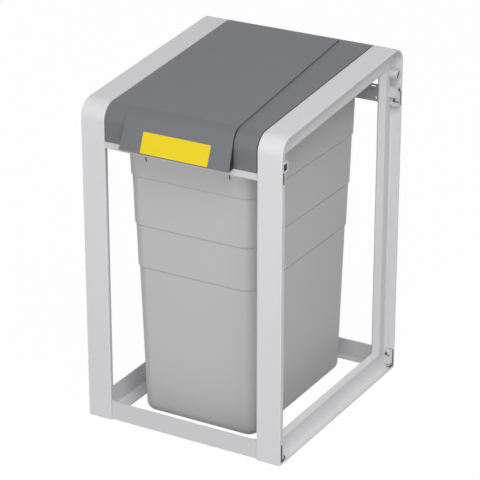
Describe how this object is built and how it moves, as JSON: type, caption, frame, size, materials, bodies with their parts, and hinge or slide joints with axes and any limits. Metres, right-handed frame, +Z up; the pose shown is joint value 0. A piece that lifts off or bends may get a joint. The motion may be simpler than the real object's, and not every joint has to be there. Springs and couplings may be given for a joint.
{
  "type": "free-standing waste sorting bin station",
  "caption": "Open upright stand of two loop-shaped side frames joined by crossbars, with a hinged sloping cover, a throw-in flap and a hanging tapered bin.",
  "frame": {"origin": "on the floor, below the middle of the overall box", "axes": "+Z up, +Y from the flap's front towards the rear with the cover hinge, +X to the user's right when facing the flap"},
  "size_m": [0.37, 0.4403, 0.6015],
  "materials": {
    "frame_grey": "moulded plastic with a fine satin surface, light grey",
    "bar_grey": "fine satin powder coat, light grey",
    "connector_grey": "moulded light grey plastic",
    "cover_grey": "fine-grained dark grey plastic",
    "bin_grey": "fine-grained light grey plastic",
    "label_yellow": "smooth yellow plastic",
    "steel": "zinc-plated steel",
    "bush_white": "off-white bearing plastic",
    "buffer_black": "soft black rubber"
  },
  "bodies": {
    "frame": {"side_frame_left": "frame_grey", "side_frame_right": "frame_grey", "lower_front_crossbar": "bar_grey", "upper_front_crossbar": "bar_grey", "lower_rear_crossbar": "bar_grey", "upper_rear_crossbar": "bar_grey", "frame_screws": "steel", "hinge_bracket_left": "steel", "hinge_bracket_right": "steel", "bracket_screws": "steel", "cover_hinge_pin_left": "steel", "cover_hinge_pin_right": "steel", "rear_upper_clip_left": "connector_grey", "rear_upper_clip_right": "connector_grey", "front_upper_clip_left": "connector_grey", "front_upper_clip_right": "connector_grey", "front_lower_clip_left": "connector_grey", "front_lower_clip_right": "connector_grey", "rear_lower_clip_left": "connector_grey", "rear_lower_clip_right": "connector_grey"},
    "cover": {"top_cover": "cover_grey", "cover_hinge_bush_left": "bush_white", "cover_hinge_bush_right": "bush_white", "flap_hinge_pin_left": "steel", "flap_hinge_pin_right": "steel", "flap_buffers": "buffer_black"},
    "flap": {"flap": "cover_grey", "label_plate": "label_yellow"},
    "bin": {"bin": "bin_grey"},
    "lock_left": {"lock_pin_left": "connector_grey"},
    "lock_right": {"lock_pin_right": "connector_grey"}
  },
  "joints": [
    {"name": "cover_hinge", "type": "hinge", "parent": "frame", "child": "cover", "pos_m": [0, 0.19216, 0.57148], "axis": [-1, 0, 0], "range_deg": [0, 80]},
    {"name": "flap_hinge", "type": "hinge", "parent": "cover", "child": "flap", "pos_m": [0, 0.18596, 0.59604], "axis": [-1, 0, 0], "range_deg": [0, 85]},
    {"name": "bin_lift", "type": "slide", "parent": "frame", "child": "bin", "axis": [0, 0, 1], "range_m": [0, 0.04]},
    {"name": "lock_left_turn", "type": "hinge", "parent": "frame", "child": "lock_left", "pos_m": [-0.174, 0.20616, 0.55198], "axis": [-1, 0, 0], "range_deg": [0, 90]},
    {"name": "lock_right_turn", "type": "hinge", "parent": "frame", "child": "lock_right", "pos_m": [0.174, 0.20616, 0.55198], "axis": [1, 0, 0], "range_deg": [0, 90]}
  ]
}
